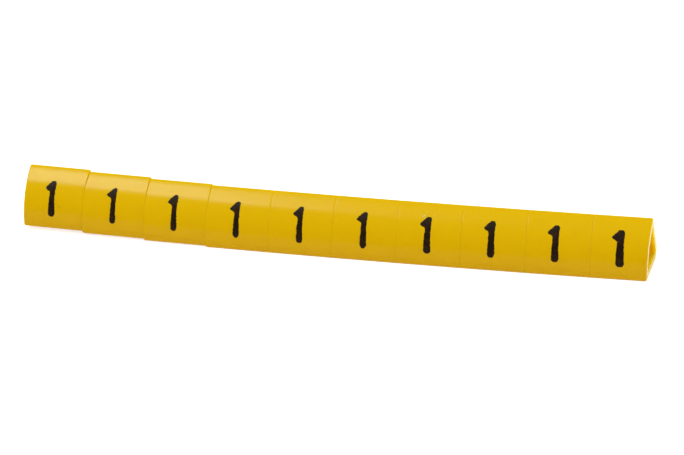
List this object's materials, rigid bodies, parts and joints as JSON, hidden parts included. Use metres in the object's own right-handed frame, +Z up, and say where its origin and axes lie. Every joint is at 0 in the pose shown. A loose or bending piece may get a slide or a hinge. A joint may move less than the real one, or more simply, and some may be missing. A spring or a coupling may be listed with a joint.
{
  "type": "cable marker strip",
  "caption": "Strip of slide-on cable markers: a soft tube of crowned triangular section, blade-cut into short joined markers that push over a wire, each with a printed numeral.",
  "frame": {"origin": "middle of the strip's box on the surface that it lies on", "axes": "+X along the strip in reading order, +Z up from the flank that it lies on, the printed face towards -Y"},
  "size_m": [0.0398, 0.0042, 0.0037],
  "materials": {
    "yellow_pvc": "extruded soft PVC, satin, slightly translucent",
    "stamped_ink": "hot-stamped black numerals"
  },
  "bodies": {
    "root": {"marker_strip": "yellow_pvc"}
  },
  "joints": []
}
